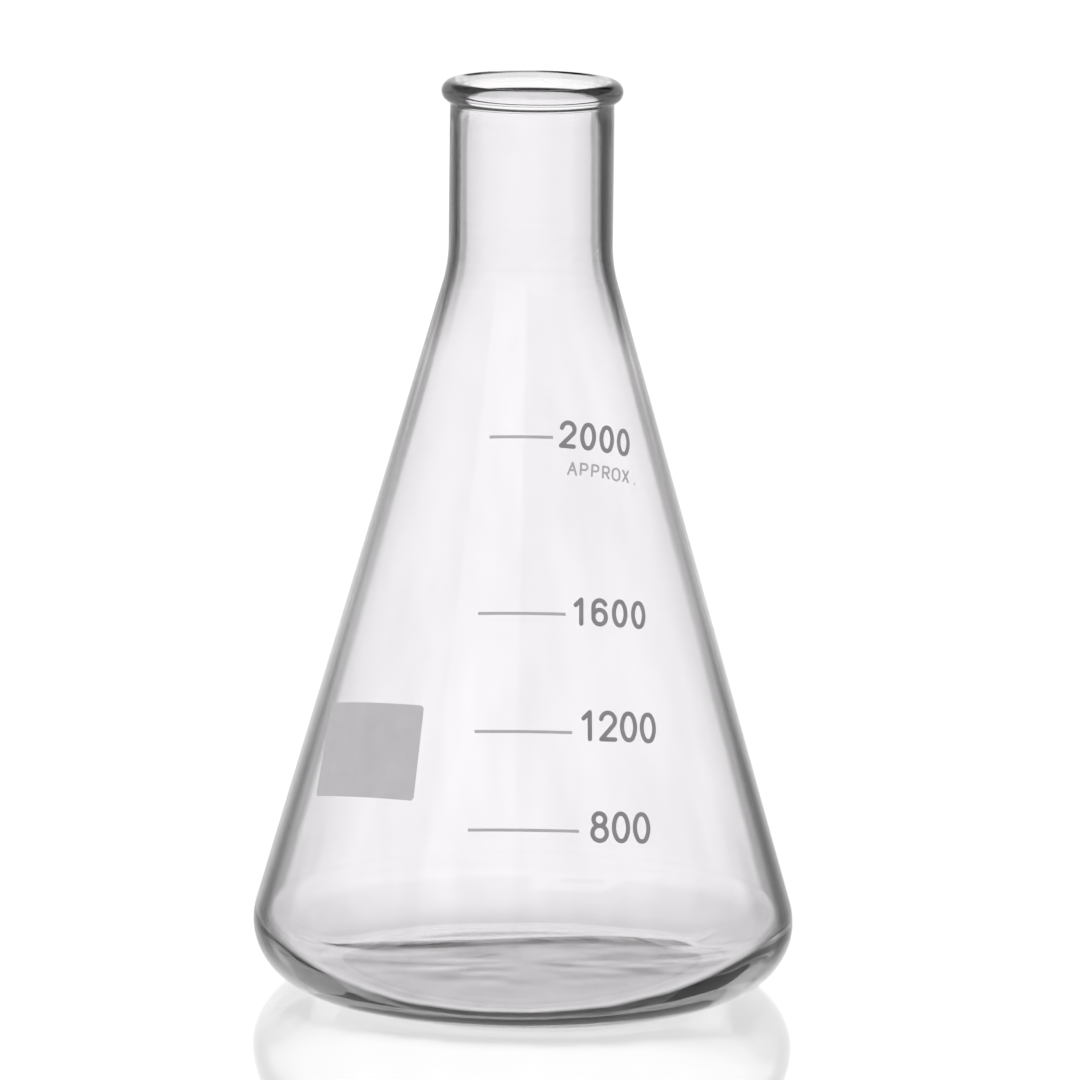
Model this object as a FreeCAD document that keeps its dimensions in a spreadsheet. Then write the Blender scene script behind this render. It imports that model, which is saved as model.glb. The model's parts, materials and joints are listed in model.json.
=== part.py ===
"""A 2000 ml narrow-neck erlenmeyer flask: one blown borosilicate glass vessel with its fired enamel print.

The flask stands on the XY plane with its axis on Z, and its graduations face -Y. Lengths are in millimetres.
The vessel is one revolved wall section. The print was laid flat on the unrolled cone, so every mark is placed
by its distance from the cone's apex and its sideways distance from the print's centre line.
"""

import FreeCAD
import Part
import math
import os

import Sketcher
from FreeCAD import Matrix, Placement, Rotation, Vector

PARTS_FOLDER = "parts"
ORIGIN = -1  # Sketcher's name for the sketch's own origin and horizontal axis
V_AXIS = -2  # and for its vertical axis
START, END, CENTRE = 1, 2, 3

# Driving dimensions: alias, value and what it is.
SIZES = [
    ("height", 280, "foot to the top of the lip"),
    ("body_diameter", 166, "widest, at the heel"),
    ("neck_diameter", 50, "outside the straight neck"),
    ("rim_diameter", 55.4, "outside the bead at the mouth"),
    ("neck_bore", 44, "inside the straight neck"),
    ("cone_half_angle", 16.1, "between the cone's side and the axis, in degrees"),
    ("cone_wall", 2.4, "glass thickness of the cone, square to its side"),
    ("heel_radius", 20, "outside, between the cone and the foot"),
    ("heel_inner_radius", 16.5, "inside, between the cone and the floor"),
    ("foot_thickness", 3.6, "glass under the lowest part of the floor"),
    ("foot_ring_width", 7, "flat ring that the flask stands on"),
    ("punt_height", 2.2, "rise of the underside at the centre"),
    ("floor_height", 6.2, "inner floor at the centre, above the table"),
    ("shoulder_radius", 45, "outside, between the cone and the neck"),
    ("shoulder_inner_radius", 50, "inside, between the cone and the neck"),
    ("bead_radius", 3.3, "section of the bead round the mouth"),
    ("bead_root_radius", 1.2, "hollow between the neck and the bead"),
    ("enamel", 0.15, "thickness of the fired print"),
    ("line_weight", 0.9, "thickness of the graduation lines"),
    ("stroke", 1.35, "stroke of the numerals"),
    ("legend_height", 4.2, "letters under the top numeral"),
    ("legend_stroke", 0.6, "stroke of those letters"),
    ("legend_pitch", 3.75, "step from one letter to the next"),
    ("legend_slant", 148.4, "apex to the middle of those letters"),
    ("legend_start", 13.6, "centre line to the middle of the first letter"),
    ("legend_turn", -3.0, "letters turned in the surface, in degrees"),
    ("panel_width", 41.7, "marking panel, along the cone's girth"),
    ("panel_height", 28.9, "marking panel, along the cone's side"),
    ("panel_corner", 1.2, "marking panel, corner radius"),
    ("panel_slant", 232.3, "apex to the middle of the marking panel"),
    ("panel_start", -54.3, "centre line to the middle of the marking panel"),
    ("panel_turn", -6.0, "panel turned in the surface, in degrees"),
]

# One row for each graduation: volume in ml, and the eight sizes named below. A slant is a distance from the
# cone's apex down the unrolled side, and left, right and start are distances from the print's centre line.
GRADUATION_SIZES = (
    "line_slant",
    "line_left",
    "line_right",
    "digit_slant",
    "digit_start",
    "digit_pitch",
    "digit_height",
    "digit_turn",
)
GRADUATIONS = [
    (2000, 139.2, -11.8, 7.4, 138.1, 12.1, 6.60, 8.5, -2.5),
    (1600, 192.7, -14.5, 11.8, 191.7, 15.9, 6.80, 8.6, 0.5),
    (1200, 228.4, -15.2, 14.2, 226.1, 18.8, 6.85, 9.4, 1.0),
    (800, 258.1, -16.8, 16.6, 256.6, 23.1, 6.92, 9.6, 1.5),
]

LEGEND = "APPROX."
TEXT_SIZES = ("height", "start", "slant", "pitch", "turn")
DIGIT_WIDTH = 0.56  # of its height, from stroke middle to stroke middle
OVAL_END = 0.36  # radius of a zero's ends, of its width
CUT_BELOW, CUT_ABOVE = 6, 2  # how far a flat mark is swept in and out, so that it crosses the curved side

# ---------------------------------------------------------------- document and sheet


def make_sheet(doc):
    """The spreadsheet of driving dimensions, one row for each alias."""
    sheet = doc.addObject("Spreadsheet::Sheet", "Sizes")
    rows = list(SIZES)
    for volume, *values in GRADUATIONS:
        for name, value in zip(GRADUATION_SIZES, values):
            rows.append((f"{name}_{volume}", value, f"{volume} ml graduation"))
    for row, (alias, value, meaning) in enumerate(rows, start=1):
        sheet.set(f"A{row}", str(value))
        sheet.setAlias(f"A{row}", alias)
        sheet.set(f"B{row}", meaning)
    doc.recompute()
    return sheet


def size(sheet, alias):
    """A driving dimension as a plain number."""
    return float(sheet.get(alias))


# ---------------------------------------------------------------- the glass vessel


class Section:
    """A closed chain of lines and arcs in a sketch, each joined to the one before it."""

    def __init__(self, sketch):
        self.sketch = sketch
        self.index = {}

    def line(self, name, start, end):
        self._add(name, Part.LineSegment(Vector(*start, 0), Vector(*end, 0)), START, END)

    def arc(self, name, centre, start, end, clockwise=False):
        """An arc from start to end. Sketcher keeps every arc anticlockwise, so a clockwise one is stored reversed."""
        radius = math.dist(centre, start)
        angles = [math.atan2(p[1] - centre[1], p[0] - centre[0]) for p in (start, end)]
        if clockwise:
            angles.reverse()
        circle = Part.Circle(Vector(*centre, 0), Vector(0, 0, 1), radius)
        first, last = (END, START) if clockwise else (START, END)
        self._add(name, Part.ArcOfCircle(circle, *angles), first, last)

    def _add(self, name, curve, first, last):
        number = self.sketch.addGeometry(curve, False)
        self.index[name] = (number, first, last)

    def join(self, names, tangent):
        """Joins each curve's end to the next one's start: smoothly where the pair is in tangent."""
        for name, after in zip(names, names[1:] + names[:1]):
            number, _, last = self.index[name]
            other, first, _ = self.index[after]
            kind = "Tangent" if (name, after) in tangent else "Coincident"
            self.sketch.addConstraint(Sketcher.Constraint(kind, number, last, other, first))

    def fix(self, kind, *where):
        """A constraint with no size."""
        self.sketch.addConstraint(Sketcher.Constraint(kind, *where))

    def bind(self, kind, *where, to, value):
        """A constraint whose size follows an expression on the sheet."""
        constraint = self.sketch.addConstraint(Sketcher.Constraint(kind, *where, value))
        self.sketch.setExpression(f"Constraints[{constraint}]", to)

    def number(self, name):
        return self.index[name][0]


def origin_plane(body, role):
    return next(f for f in body.Origin.OriginFeatures if f.Role == role)


def wall_outline(sheet):
    """First places for the corners and centres of the wall section, as (radius, height)."""
    angle = math.radians(size(sheet, "cone_half_angle"))
    sine, cosine, tangent = math.sin(angle), math.cos(angle), math.tan(angle)
    half_turn = math.tan(angle / 2)
    height = size(sheet, "height")
    heel, heel_in = size(sheet, "heel_radius"), size(sheet, "heel_inner_radius")
    foot = size(sheet, "body_diameter") / 2 - heel
    neck, bore = size(sheet, "neck_diameter") / 2, size(sheet, "neck_bore") / 2
    bead, root = size(sheet, "bead_radius"), size(sheet, "bead_root_radius")
    shoulder, shoulder_in = size(sheet, "shoulder_radius"), size(sheet, "shoulder_inner_radius")

    cone_low = (foot + heel * cosine, heel * (1 + sine))
    elbow = cone_low[1] + (cone_low[0] - neck) / tangent
    wall = size(sheet, "cone_wall")
    elbow_in = elbow + (neck - bore) / tangent - wall / sine
    heel_in_z = size(sheet, "foot_thickness") + heel_in
    heel_in_r = bore + (elbow_in - heel_in_z) * tangent - heel_in / cosine
    lip_centre = size(sheet, "rim_diameter") / 2 - bead
    bead_z = height - bead
    root_r = neck + root
    root_z = bead_z - math.sqrt((bead + root) ** 2 - (root_r - lip_centre) ** 2)
    touch = bead / (bead + root)

    floor_z = size(sheet, "floor_height")
    rise = floor_z - heel_in_z
    floor_radius = (heel_in_r**2 + rise**2 - heel_in**2) / (2 * (heel_in + rise))
    floor_centre = floor_z - floor_radius
    reach = floor_radius / (floor_radius + heel_in)
    punt, inner_foot = size(sheet, "punt_height"), foot - size(sheet, "foot_ring_width")
    dome = (inner_foot**2 + punt**2) / (2 * punt)
    return {
        "punt": (0, punt),
        "dome_centre": (0, punt - dome),
        "foot_inner": (inner_foot, 0),
        "foot_outer": (foot, 0),
        "heel_centre": (foot, heel),
        "cone_low": cone_low,
        "cone_high": (neck + shoulder * half_turn * sine, elbow - shoulder * half_turn * cosine),
        "shoulder_centre": (neck + shoulder, elbow + shoulder * half_turn),
        "neck_low": (neck, elbow + shoulder * half_turn),
        "neck_high": (neck, root_z),
        "root_centre": (root_r, root_z),
        "bead_low": (lip_centre + (root_r - lip_centre) * touch, bead_z + (root_z - bead_z) * touch),
        "bead_centre": (lip_centre, bead_z),
        "lip": (lip_centre, height),
        "lip_centre": (lip_centre, height - lip_centre + bore),
        "bore_high": (bore, height - lip_centre + bore),
        "bore_low": (bore, elbow_in + shoulder_in * half_turn),
        "inner_shoulder_centre": (bore + shoulder_in, elbow_in + shoulder_in * half_turn),
        "inner_cone_high": (
            bore + shoulder_in * half_turn * sine,
            elbow_in - shoulder_in * half_turn * cosine,
        ),
        "inner_cone_low": (heel_in_r + heel_in * cosine, heel_in_z + heel_in * sine),
        "inner_heel_centre": (heel_in_r, heel_in_z),
        "floor_edge": (heel_in_r * reach, floor_centre + (heel_in_z - floor_centre) * reach),
        "floor_centre": (0, floor_centre),
        "floor": (0, floor_z),
    }


def build_flask(doc, sheet):
    """The vessel: the wall section turned once round the axis."""
    body = doc.addObject("PartDesign::Body", "Flask")
    body.Label = "glass_flask"
    sketch = body.newObject("Sketcher::SketchObject", "WallSection")
    sketch.AttachmentSupport = (origin_plane(body, "XZ_Plane"), [""])
    sketch.MapMode = "FlatFace"

    at = wall_outline(sheet)
    section = Section(sketch)
    section.arc("dome", at["dome_centre"], at["punt"], at["foot_inner"], clockwise=True)
    section.line("foot", at["foot_inner"], at["foot_outer"])
    section.arc("heel", at["heel_centre"], at["foot_outer"], at["cone_low"])
    section.line("cone", at["cone_low"], at["cone_high"])
    section.arc("shoulder", at["shoulder_centre"], at["cone_high"], at["neck_low"], clockwise=True)
    section.line("neck", at["neck_low"], at["neck_high"])
    section.arc("root", at["root_centre"], at["neck_high"], at["bead_low"], clockwise=True)
    section.arc("bead", at["bead_centre"], at["bead_low"], at["lip"])
    section.arc("lip", at["lip_centre"], at["lip"], at["bore_high"])
    section.line("bore", at["bore_high"], at["bore_low"])
    section.arc("inner_shoulder", at["inner_shoulder_centre"], at["bore_low"], at["inner_cone_high"])
    section.line("inner_cone", at["inner_cone_high"], at["inner_cone_low"])
    section.arc(
        "inner_heel", at["inner_heel_centre"], at["inner_cone_low"], at["floor_edge"], clockwise=True
    )
    section.arc("floor", at["floor_centre"], at["floor_edge"], at["floor"])
    section.line("axis", at["floor"], at["punt"])
    chain = list(section.index)
    smooth = [
        pair
        for pair in zip(chain, chain[1:])
        if pair not in (("dome", "foot"), ("floor", "axis"))
    ]
    section.join(chain, tangent=smooth)

    for name in ("dome", "floor"):
        section.fix("PointOnObject", section.number(name), CENTRE, V_AXIS)
    for name, point in (("dome", END), ("floor", END)):
        section.fix("PointOnObject", section.number(name), point, V_AXIS)
    section.fix("Horizontal", section.number("foot"))
    section.fix("PointOnObject", section.number("foot"), START, ORIGIN)
    section.fix("Vertical", section.number("neck"))
    section.fix("Vertical", section.number("bore"))
    section.fix("Parallel", section.number("cone"), section.number("inner_cone"))
    section.fix("Vertical", section.number("bead"), CENTRE, section.number("lip"), CENTRE)

    sizes = "Sizes."
    radii = {
        "heel": "heel_radius",
        "shoulder": "shoulder_radius",
        "root": "bead_root_radius",
        "bead": "bead_radius",
        "inner_shoulder": "shoulder_inner_radius",
        "inner_heel": "heel_inner_radius",
    }
    for name, alias in radii.items():
        section.bind("Radius", section.number(name), to=sizes + alias, value=size(sheet, alias))
    across = {
        ("foot", END): ("foot_outer", "Sizes.body_diameter / 2 - Sizes.heel_radius"),
        ("foot", START): (
            "foot_inner",
            "Sizes.body_diameter / 2 - Sizes.heel_radius - Sizes.foot_ring_width",
        ),
        ("neck", START): ("neck_low", "Sizes.neck_diameter / 2"),
        ("bore", START): ("bore_high", "Sizes.neck_bore / 2"),
        ("bead", CENTRE): ("bead_centre", "Sizes.rim_diameter / 2 - Sizes.bead_radius"),
    }
    for (name, point), (corner, formula) in across.items():
        where = (ORIGIN, START, section.number(name), point)
        section.bind("DistanceX", *where, to=formula, value=at[corner][0])
    up = {
        ("dome", END): ("punt", "Sizes.punt_height"),
        ("floor", END): ("floor", "Sizes.floor_height"),
        ("bead", END): ("lip", "Sizes.height"),
        ("inner_heel", CENTRE): (
            "inner_heel_centre",
            "Sizes.foot_thickness + Sizes.heel_inner_radius",
        ),
    }
    for (name, point), (corner, formula) in up.items():
        where = (ORIGIN, START, section.number(name), point)
        section.bind("DistanceY", *where, to=formula, value=at[corner][1])
    section.bind(
        "Angle",
        V_AXIS,
        START,
        section.number("cone"),
        START,
        to="Sizes.cone_half_angle * 1 deg",
        value=math.radians(size(sheet, "cone_half_angle")),
    )
    section.bind(
        "Distance",
        section.number("inner_cone"),
        START,
        section.number("cone"),
        to="Sizes.cone_wall",
        value=size(sheet, "cone_wall"),
    )
    doc.recompute()
    turned = body.newObject("PartDesign::Revolution", "Wall")
    turned.Profile = sketch
    turned.ReferenceAxis = (sketch, ["V_Axis"])
    turned.Angle = 360
    body.Tip = turned
    doc.recompute()
    print("wall section: solver", sketch.solve(), "fully constrained", sketch.FullyConstrained)
    return body


# ---------------------------------------------------------------- places on the cone


def apex_height(sheet):
    """Height of the point where the cone's outer sides would meet."""
    at = wall_outline(sheet)
    radius, height = at["cone_low"]
    return height + radius / math.tan(math.radians(size(sheet, "cone_half_angle")))


def on_cone(sheet, sideways, slant, turn=0):
    """Placement of a flat mark on the cone, from its place on the unrolled side. X runs round, Y up, Z out."""
    angle = math.radians(size(sheet, "cone_half_angle"))
    swing = math.atan2(sideways, slant)
    azimuth = swing / math.sin(angle)
    reach = math.hypot(sideways, slant)
    out = Vector(math.sin(azimuth), -math.cos(azimuth), 0)
    girth = Vector(math.cos(azimuth), math.sin(azimuth), 0)
    up = Vector(0, 0, 1)
    side = up * math.cos(angle) - out * math.sin(angle)
    normal = out * math.cos(angle) + up * math.sin(angle)
    place = out * (reach * math.sin(angle)) + up * (apex_height(sheet) - reach * math.cos(angle))
    roll = Rotation(Vector(0, 0, 1), turn - math.degrees(swing))
    return Placement(place, Rotation(girth, side, normal, "XYZ") * roll)


def print_skin(doc, sheet):
    """A thin conical shell that lies on the outer side, which every mark is cut from."""
    low, high = "Sizes.heel_radius + 8", "Sizes.height - 75"
    sheet.set("A100", str(apex_height(sheet)))
    sheet.setAlias("A100", "apex_height")
    sheet.set("B100", "where the cone's outer sides would meet, from the sizes above")
    doc.recompute()
    cones = []
    for name, extra in (("SkinOutside", "Sizes.enamel"), ("SkinInside", "0")):
        cone = doc.addObject("Part::Cone", name)
        grow = f"{extra} / cos(Sizes.cone_half_angle * 1 deg)"
        lean = "tan(Sizes.cone_half_angle * 1 deg)"
        cone.setExpression("Placement.Base.z", low)
        cone.setExpression("Height", f"{high} - ({low})")
        cone.setExpression("Radius1", f"(Sizes.apex_height - ({low})) * {lean} + {grow}")
        cone.setExpression("Radius2", f"(Sizes.apex_height - ({high})) * {lean} + {grow}")
        cones.append(cone)
    skin = doc.addObject("Part::Cut", "PrintSkin")
    skin.Base, skin.Tool = cones
    doc.recompute()
    return skin


# ---------------------------------------------------------------- strokes and letters


def line(start, end):
    return Part.LineSegment(Vector(*start, 0), Vector(*end, 0))


def arc(centre, radius, start, end):
    """An arc between two angles in degrees, anticlockwise."""
    circle = Part.Circle(Vector(*centre, 0), Vector(0, 0, 1), radius)
    return Part.ArcOfCircle(circle, math.radians(start), math.radians(end))


def polyline(*points):
    return [line(a, b) for a, b in zip(points, points[1:])]


def loop(width, height, middle=(0, 0)):
    """A closed upright track: two straight sides and two half rounds."""
    x, y = middle
    radius = min(width, height) / 2
    half = height / 2 - radius
    curves = [arc((x, y + half), radius, 0, 180), arc((x, y - half), radius, 180, 360)]
    if half > 0:
        curves.append(line((x - radius, y + half), (x - radius, y - half)))
        curves.append(line((x + radius, y - half), (x + radius, y + half)))
    return curves


def oval(width, height):
    """A closed upright oval: two long side arcs and two tighter ends, each running smoothly into the next."""
    across, up = width / 2, height / 2
    end = OVAL_END * width
    lift = up - end
    side = (across**2 + lift**2 - end**2) / (2 * (across - end))
    meet = math.degrees(math.atan2(lift, side - across))
    return [
        arc((across - side, 0), side, -meet, meet),
        arc((0, lift), end, meet, 180 - meet),
        arc((side - across, 0), side, 180 - meet, 180 + meet),
        arc((0, -lift), end, 180 + meet, 360 - meet),
    ]


def bowl(left, top, bottom, reach):
    """The bowl of a P, from its stem round and back to its stem."""
    radius = (top - bottom) / 2
    middle = (reach - radius, (top + bottom) / 2)
    return [
        line((left, top), (middle[0], top)),
        arc(middle, radius, -90, 90),
        line((middle[0], bottom), (left, bottom)),
    ]


def glyph_paths(character):
    """The middle lines of a character's strokes, one unit high and centred on its middle. A closed path is
    a ring."""
    half = DIGIT_WIDTH / 2
    shoulder = 0.5 - half
    drop = math.radians(-38)
    turn_end = (half * math.cos(drop), shoulder + half * math.sin(drop))
    stem = polyline((-0.3, -0.5), (-0.3, 0.5))
    round_top = bowl(-0.3, 0.5, -0.02, 0.3)
    paths = {
        "0": [oval(DIGIT_WIDTH, 1)],
        "1": [polyline((-0.12, 0.27), (0.12, 0.5), (0.12, -0.5))],
        "2": [
            [
                arc((0, shoulder), half, -38, 172),
                line(turn_end, (-half, -0.5)),
                line((-half, -0.5), (half, -0.5)),
            ]
        ],
        "6": [
            loop(DIGIT_WIDTH, 0.6, (0, -0.2)),
            [line((-half, -0.2), (-half, shoulder)), arc((0, shoulder), half, 25, 180)],
        ],
        "8": [loop(0.48, 0.45, (0, 0.275)), loop(DIGIT_WIDTH, 0.55, (0, -0.225))],
        "A": [polyline((-0.36, -0.5), (0, 0.5), (0.36, -0.5)), polyline((-0.23, -0.14), (0.23, -0.14))],
        "P": [stem, round_top],
        "R": [stem, round_top, polyline((0.02, -0.02), (0.32, -0.5))],
        "O": [loop(0.74, 1)],
        "X": [polyline((-0.32, -0.5), (0.32, 0.5)), polyline((-0.32, 0.5), (0.32, -0.5))],
        ".": [polyline((-0.03, -0.5), (0.03, -0.5))],
    }
    return paths[character]


def scaled(curves, factor):
    grow = Matrix()
    grow.scale(factor, factor, factor)
    grown = [curve.copy() for curve in curves]
    for curve in grown:
        curve.transform(grow)
    return grown


def placed_sketch(doc, name, curves, placement):
    sketch = doc.addObject("Sketcher::SketchObject", name)
    sketch.addGeometry(curves, False)
    sketch.Placement = placement
    return sketch


def stroke_solid(doc, name, curves, placement, width):
    """An open path with a bend in it, widened on both sides and swept through the cone's side."""
    ink = doc.addObject("Part::Offset2D", f"{name}_stroke")
    ink.Source = placed_sketch(doc, f"{name}_path", curves, placement)
    ink.Mode = "Pipe"
    ink.Fill = True
    ink.setExpression("Value", f"{width} / 2")
    return swept(doc, f"{name}_sweep", ink)


def bar_solid(doc, name, start, end, placement, width):
    """A straight stroke: a rectangle round its middle line, swept through the cone's side."""
    across = (end - start).normalize().cross(Vector(0, 0, 1)) * (width / 2)
    corners = [start + across, end + across, end - across, start - across]
    curves = [Part.LineSegment(a, b) for a, b in zip(corners, corners[1:] + corners[:1])]
    return swept(doc, f"{name}_sweep", placed_sketch(doc, f"{name}_outline", curves, placement))


def ring_solid(doc, name, curves, placement, width):
    """A closed path widened on both sides: the outer edge less the inner edge, swept through the side."""
    sketch = placed_sketch(doc, f"{name}_path", curves, placement)
    edges = []
    for side, sign in (("outer", ""), ("inner", "-")):
        edge = doc.addObject("Part::Offset2D", f"{name}_{side}")
        edge.Source = sketch
        edge.setExpression("Value", f"{sign}{width} / 2")
        edges.append(swept(doc, f"{name}_{side}_sweep", edge))
    ring = doc.addObject("Part::Cut", f"{name}_ring")
    ring.Base, ring.Tool = edges
    return ring


def swept(doc, name, profile):
    """A flat profile swept square to itself, from under the cone's side to over it."""
    solid = doc.addObject("Part::Extrusion", name)
    solid.Base = profile
    solid.DirMode = "Normal"
    solid.Solid = True
    solid.LengthFwd = CUT_ABOVE
    solid.LengthRev = CUT_BELOW
    return solid


def is_closed(curves):
    return Part.Wire(Part.__sortEdges__([curve.toShape() for curve in curves])).isClosed()


def character_solid(doc, name, character, height, placement, width_alias, sheet):
    """One character: its strokes fused into one solid."""
    width = size(sheet, width_alias)
    strokes = []
    for number, path in enumerate(glyph_paths(character)):
        curves = scaled(path, height - width)
        stroke = f"{name}_{number}"
        if len(curves) == 1:
            ends = (curves[0].StartPoint, curves[0].EndPoint)
            strokes.append(bar_solid(doc, stroke, *ends, placement, width))
        else:
            make = ring_solid if is_closed(path) else stroke_solid
            strokes.append(make(doc, stroke, curves, placement, f"Sizes.{width_alias}"))
    if len(strokes) == 1:
        return strokes[0]
    fused = doc.addObject("Part::MultiFuse", f"{name}_fused")
    fused.Shapes = strokes
    return fused


def text_mark(doc, sheet, skin, label, text, height, start, slant, pitch, turn, width_alias):
    """A row of characters cut from the print skin, one solid for each."""
    lean = math.tan(math.radians(turn))
    characters = []
    for place, character in enumerate(text):
        step = place * pitch
        placement = on_cone(sheet, start + step, slant - step * lean, turn)
        name = f"{label}_{place}"
        characters.append(
            character_solid(doc, name, character, height, placement, width_alias, sheet)
        )
    row = doc.addObject("Part::Compound", f"{label}_row")
    row.Links = characters
    return cut_from_skin(doc, label, row, skin)


def cut_from_skin(doc, label, shape, skin):
    mark = doc.addObject("Part::Common", label)
    mark.Label = label
    mark.Base, mark.Tool = shape, skin
    return mark


# ---------------------------------------------------------------- the print


def build_line(doc, sheet, skin, volume):
    """A graduation line: straight on the unrolled cone, so slightly bowed on the flask."""
    left, right = (size(sheet, f"line_{end}_{volume}") for end in ("left", "right"))
    label = f"graduation_line_{volume}"
    half = Vector((right - left) / 2, 0, 0)
    placement = on_cone(sheet, (left + right) / 2, size(sheet, f"line_slant_{volume}"))
    stroke = bar_solid(doc, label, -half, half, placement, size(sheet, "line_weight"))
    return cut_from_skin(doc, label, stroke, skin)


def build_numeral(doc, sheet, skin, volume):
    """The figures beside a graduation line."""
    values = [size(sheet, f"digit_{name}_{volume}") for name in TEXT_SIZES]
    return text_mark(doc, sheet, skin, f"numeral_{volume}", str(volume), *values, "stroke")


def build_legend(doc, sheet, skin):
    """The word under the top numeral, which says that the graduations are approximate."""
    values = [size(sheet, f"legend_{name}") for name in TEXT_SIZES]
    return text_mark(doc, sheet, skin, "approx_legend", LEGEND, *values, "legend_stroke")


def build_panel(doc, sheet, skin):
    """The matt patch for pencil notes: a rectangle with small round corners."""
    width, height, corner = (size(sheet, f"panel_{name}") for name in ("width", "height", "corner"))
    x, y = width / 2, height / 2
    curves = []
    for turn, (across, along) in enumerate(((x, y), (-x, y), (-x, -y), (x, -y))):
        centre = (across - math.copysign(corner, across), along - math.copysign(corner, along))
        curves.append(arc(centre, corner, 90 * turn, 90 * turn + 90))
    curves += [
        line((x - corner, y), (corner - x, y)),
        line((-x, y - corner), (-x, corner - y)),
        line((corner - x, -y), (x - corner, -y)),
        line((x, corner - y), (x, y - corner)),
    ]
    place = [size(sheet, f"panel_{name}") for name in ("start", "slant", "turn")]
    sketch = placed_sketch(doc, "panel_outline", curves, on_cone(sheet, *place))
    return cut_from_skin(doc, "marking_panel", swept(doc, "panel_sweep", sketch), skin)


# ---------------------------------------------------------------- assembly and export


def check(doc, sub_parts):
    """Stops if any object failed, or any sub-part has no sound solid."""
    for thing in doc.Objects:
        if {"Invalid", "Error"} & set(thing.State):
            raise RuntimeError(f"{thing.Name} failed: {thing.State}")
    for part in sub_parts:
        shape = part.Shape
        if shape.isNull() or not shape.isValid() or not shape.Solids:
            raise RuntimeError(f"{part.Label} has no sound shape")
        box = shape.optimalBoundingBox(True, False) if hasattr(shape, "optimalBoundingBox") else shape.BoundBox
        print(
            f"{part.Label:22} {len(shape.Solids)} solids {shape.Volume:10.2f} mm3"
            f"  x {box.XMin:.1f}..{box.XMax:.1f}  z {box.ZMin:.1f}..{box.ZMax:.1f}"
        )


def main():
    doc = FreeCAD.newDocument("ErlenmeyerFlask")
    sheet = make_sheet(doc)
    sub_parts = [build_flask(doc, sheet)]
    skin = print_skin(doc, sheet)
    for volume, *_ in GRADUATIONS:
        sub_parts.append(build_line(doc, sheet, skin, volume))
        sub_parts.append(build_numeral(doc, sheet, skin, volume))
    sub_parts.append(build_legend(doc, sheet, skin))
    sub_parts.append(build_panel(doc, sheet, skin))
    doc.recompute()
    check(doc, sub_parts)
    os.makedirs(PARTS_FOLDER, exist_ok=True)
    for part in sub_parts:
        part.Shape.exportStep(os.path.join(PARTS_FOLDER, f"{part.Label}.step"))


main()
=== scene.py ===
# %% [markdown]
# # A conical flask in clear glass
# The frame holds the flask as it was designed: one glass vessel and ten printed marks. This lesson
# gives it its looks. Clear glass has almost no colour of its own, so nearly everything we see in it
# is the room, bent and mirrored by its walls. That makes the thickness of the walls and the
# unevenness of the blown surface the real subject here. We load the frame first, and keep the box
# of the design, which the finished model must fill.

# %% Load the frame
import json
import math

import bpy
from mathutils import Matrix, Vector


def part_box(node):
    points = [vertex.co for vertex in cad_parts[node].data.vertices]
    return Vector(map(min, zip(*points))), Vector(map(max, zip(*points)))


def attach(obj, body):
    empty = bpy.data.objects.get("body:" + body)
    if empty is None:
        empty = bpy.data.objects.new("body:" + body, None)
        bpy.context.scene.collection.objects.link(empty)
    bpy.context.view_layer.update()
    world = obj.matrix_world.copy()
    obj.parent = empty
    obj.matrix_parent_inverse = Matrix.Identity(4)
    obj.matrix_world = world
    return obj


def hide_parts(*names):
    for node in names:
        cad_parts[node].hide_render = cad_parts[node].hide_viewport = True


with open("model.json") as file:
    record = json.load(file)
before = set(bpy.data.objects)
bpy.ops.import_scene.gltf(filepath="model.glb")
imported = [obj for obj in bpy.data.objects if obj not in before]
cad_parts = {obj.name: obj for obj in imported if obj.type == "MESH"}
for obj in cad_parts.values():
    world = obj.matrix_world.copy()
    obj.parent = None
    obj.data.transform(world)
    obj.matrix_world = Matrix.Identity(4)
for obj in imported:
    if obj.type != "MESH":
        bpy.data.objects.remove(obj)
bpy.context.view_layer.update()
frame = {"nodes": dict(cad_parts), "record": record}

# %% [markdown]
# Glassmakers give sizes in millimetres and Blender works in metres, so one factor turns one into
# the other. A few driving sizes describe the vessel, and the rest is worked out from them. The
# height comes from the design itself, so the two can't drift apart.

# %% Driving sizes
MM = 0.001
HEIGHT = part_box("glass_flask")[1].z / MM
BODY_RADIUS = 83.0
HEEL_RADIUS = 20.0
HEEL_INNER_RADIUS = 16.5
NECK_RADIUS = 25.0
BORE_RADIUS = 22.0
RIM_RADIUS = 27.7
BEAD_RADIUS = 3.3
BEAD_ROOT_RADIUS = 1.2
SHOULDER_RADIUS = 45.0
SHOULDER_INNER_RADIUS = 50.0
CONE_WALL = 2.4
NECK_WALL = NECK_RADIUS - BORE_RADIUS
FOOT_THICKNESS = 3.6
FOOT_RING_WIDTH = 7.0
PUNT_HEIGHT = 2.2
FLOOR_HEIGHT = 6.2
CONE_ANGLE = math.radians(16.1)
SINE, COSINE, TANGENT = math.sin(CONE_ANGLE), math.cos(CONE_ANGLE), math.tan(CONE_ANGLE)
print(f"height {HEIGHT:.1f} mm, body {2 * BODY_RADIUS:.0f} mm, neck {2 * NECK_RADIUS:.0f} mm")

# %% [markdown]
# The vessel is blown and then turned against a paddle, so its section is made of straight runs
# joined by arcs that run smoothly into each other. We write the section as a chain of points
# (radius, height). One small helper gives the points of an arc, so that a round stretch stays a
# formula, and another divides a straight run, because the long walls need rings of their own where
# they will be made uneven.

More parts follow.
